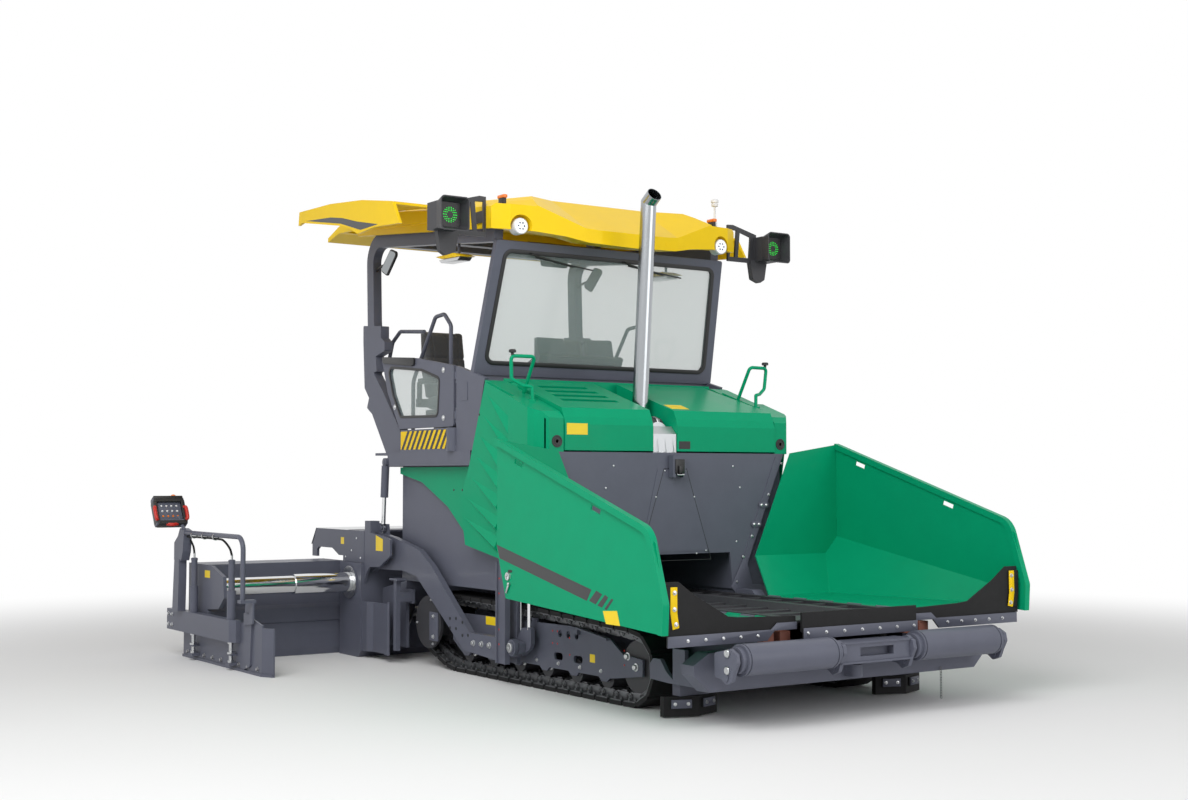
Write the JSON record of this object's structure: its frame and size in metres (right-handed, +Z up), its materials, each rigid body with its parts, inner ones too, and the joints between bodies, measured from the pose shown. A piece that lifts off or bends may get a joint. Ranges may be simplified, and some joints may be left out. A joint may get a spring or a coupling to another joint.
{
  "type": "crawler asphalt paver",
  "caption": "Tracked road paver: folding hopper wings, conveyor tunnel, augers, operator platform under a roof, and a towed screed with telescoping extensions.",
  "frame": {"origin": "middle of the bounding box, on the ground", "axes": "+X forward towards the hopper, +Y to the machine's left, +Z up"},
  "size_m": [6.31, 5.684, 4.0018],
  "materials": {
    "grey_paint": "satin",
    "bare_steel": "worn",
    "dark_plastic": "matt",
    "glass": "clear",
    "chrome": "polished",
    "green_paint": "satin",
    "roof_yellow": "gloss",
    "rubber": "matt",
    "seat_fabric": "woven"
  },
  "bodies": {
    "tractor": {"auger_frame": "grey_paint", "body_shell": "grey_paint", "chassis_frame": "grey_paint", "conveyor_deck": "bare_steel", "display_boxes": "dark_plastic", "engine_block": "grey_paint", "exhaust_stack": "chrome", "hood_centre": "bare_steel", "hood_frame": "green_paint", "hood_handles": "green_paint", "hopper_bulkhead": "grey_paint", "levelling_columns": "grey_paint", "operator_console": "dark_plastic", "platform_deck": "grey_paint", "roof_shell": "roof_yellow", "rops_frame": "grey_paint", "running_gear": "grey_paint", "scrapers": "rubber", "seat_hoops": "grey_paint", "seats": "seat_fabric", "side_panels": "green_paint", "side_shades": "roof_yellow", "track_frames": "grey_paint", "track_left": "rubber", "track_right": "rubber", "windscreen_frame": "grey_paint", "windscreen_glass": "glass"},
    "hood_left": {"hood_lid_left": "green_paint"},
    "wing_left": {"hopper_wing_left": "green_paint", "wing_apron_left": "rubber"},
    "push_roller_left": {"push_roller_left": "grey_paint"},
    "door_left": {"door_left": "grey_paint", "door_glass_left": "glass"},
    "auger_left": {"auger_left": "bare_steel"},
    "lift_barrel_left": {"lift_barrel_left": "grey_paint"},
    "lift_rod_left": {"lift_rod_left": "chrome"},
    "tube_stage_left": {"tube_stage_left": "chrome"},
    "extension_left": {"extension_body_left": "grey_paint", "extension_tube_left": "chrome", "end_gate_left": "grey_paint", "end_rail_left": "grey_paint"},
    "hood_right": {"hood_lid_right": "green_paint"},
    "wing_right": {"hopper_wing_right": "green_paint", "wing_apron_right": "rubber"},
    "push_roller_right": {"push_roller_right": "grey_paint"},
    "door_right": {"door_right": "grey_paint", "door_glass_right": "glass"},
    "auger_right": {"auger_right": "bare_steel"},
    "lift_barrel_right": {"lift_barrel_right": "grey_paint"},
    "lift_rod_right": {"lift_rod_right": "chrome"},
    "tube_stage_right": {"tube_stage_right": "chrome"},
    "extension_right": {"extension_body_right": "grey_paint", "extension_tube_right": "chrome", "end_gate_right": "grey_paint", "end_rail_right": "grey_paint"},
    "push_bar": {"push_bar": "grey_paint"},
    "screed": {"tow_arms": "grey_paint", "screed_base": "grey_paint"}
  },
  "joints": [
    {"name": "screed_lift", "type": "hinge", "parent": "tractor", "child": "screed", "pos_m": [0.475, 0, 0.298], "axis": [0, 1, 0], "range_deg": [0, 5]},
    {"name": "push_bar_swivel", "type": "hinge", "parent": "tractor", "child": "push_bar", "pos_m": [2.885, 0, 0.39], "axis": [0, 0, 1], "range_deg": [-3, 3]},
    {"name": "hood_left_hinge", "type": "hinge", "parent": "tractor", "child": "hood_left", "pos_m": [0.073, 0.5, 2.318], "axis": [0, -1, 0], "range_deg": [0, 45]},
    {"name": "wing_left_hinge", "type": "hinge", "parent": "tractor", "child": "wing_left", "pos_m": [2.005, 0.62, 0.64], "axis": [1, 0, 0], "range_deg": [0, 45]},
    {"name": "push_roller_left_spin", "type": "hinge", "parent": "push_bar", "child": "push_roller_left", "pos_m": [3.055, 0.7585, 0.445], "axis": [0, 1, 0], "continuous": true},
    {"name": "door_left_hinge", "type": "hinge", "parent": "tractor", "child": "door_left", "pos_m": [-0.455, 1.168, 2.2], "axis": [0, 0, -1], "range_deg": [0, 95]},
    {"name": "auger_left_spin", "type": "hinge", "parent": "tractor", "child": "auger_left", "pos_m": [-1.707, 0.55, 0.4], "axis": [0, 1, 0], "continuous": true},
    {"name": "extension_left_slide", "type": "slide", "parent": "screed", "child": "extension_left", "axis": [0, -1, 0], "range_m": [0, 1.15]},
    {"name": "tube_stage_left_slide", "type": "slide", "parent": "screed", "child": "tube_stage_left", "axis": [0, -1, 0], "range_m": [0, 0.576]},
    {"name": "lift_barrel_left_pivot", "type": "hinge", "parent": "tractor", "child": "lift_barrel_left", "pos_m": [-1.695, 1.17, 1.7], "axis": [0, -1, 0], "range_deg": [-1, 10.3]},
    {"name": "lift_rod_left_slide", "type": "slide", "parent": "lift_barrel_left", "child": "lift_rod_left", "axis": [0.0706, 0, 0.9975], "range_m": [-0.002, 0.1919]},
    {"name": "hood_right_hinge", "type": "hinge", "parent": "tractor", "child": "hood_right", "pos_m": [0.073, -0.5, 2.318], "axis": [0, -1, 0], "range_deg": [0, 45]},
    {"name": "wing_right_hinge", "type": "hinge", "parent": "tractor", "child": "wing_right", "pos_m": [2.005, -0.62, 0.64], "axis": [-1, 0, 0], "range_deg": [0, 45]},
    {"name": "push_roller_right_spin", "type": "hinge", "parent": "push_bar", "child": "push_roller_right", "pos_m": [3.055, -0.7585, 0.445], "axis": [0, 1, 0], "continuous": true},
    {"name": "door_right_hinge", "type": "hinge", "parent": "tractor", "child": "door_right", "pos_m": [-0.455, -1.168, 2.2], "axis": [0, 0, 1], "range_deg": [0, 95]},
    {"name": "auger_right_spin", "type": "hinge", "parent": "tractor", "child": "auger_right", "pos_m": [-1.707, -0.55, 0.4], "axis": [0, 1, 0], "continuous": true},
    {"name": "extension_right_slide", "type": "slide", "parent": "screed", "child": "extension_right", "axis": [0, 1, 0], "range_m": [0, 1.15]},
    {"name": "tube_stage_right_slide", "type": "slide", "parent": "screed", "child": "tube_stage_right", "axis": [0, 1, 0], "range_m": [0, 0.576]},
    {"name": "lift_barrel_right_pivot", "type": "hinge", "parent": "tractor", "child": "lift_barrel_right", "pos_m": [-1.695, -1.17, 1.7], "axis": [0, -1, 0], "range_deg": [-1, 10.3]},
    {"name": "lift_rod_right_slide", "type": "slide", "parent": "lift_barrel_right", "child": "lift_rod_right", "axis": [0.0706, 0, 0.9975], "range_m": [-0.002, 0.1919]}
  ],
  "couplings": [
    {"joint": "tube_stage_left_slide", "follows": "extension_left_slide", "ratio": 0.5},
    {"joint": "lift_barrel_left_pivot", "follows": "screed_lift", "ratio": 1.8601},
    {"joint": "lift_rod_left_slide", "follows": "screed_lift", "m_per_rad": 2.176},
    {"joint": "tube_stage_right_slide", "follows": "extension_right_slide", "ratio": 0.5},
    {"joint": "lift_barrel_right_pivot", "follows": "screed_lift", "ratio": 1.8601},
    {"joint": "lift_rod_right_slide", "follows": "screed_lift", "m_per_rad": 2.176}
  ]
}
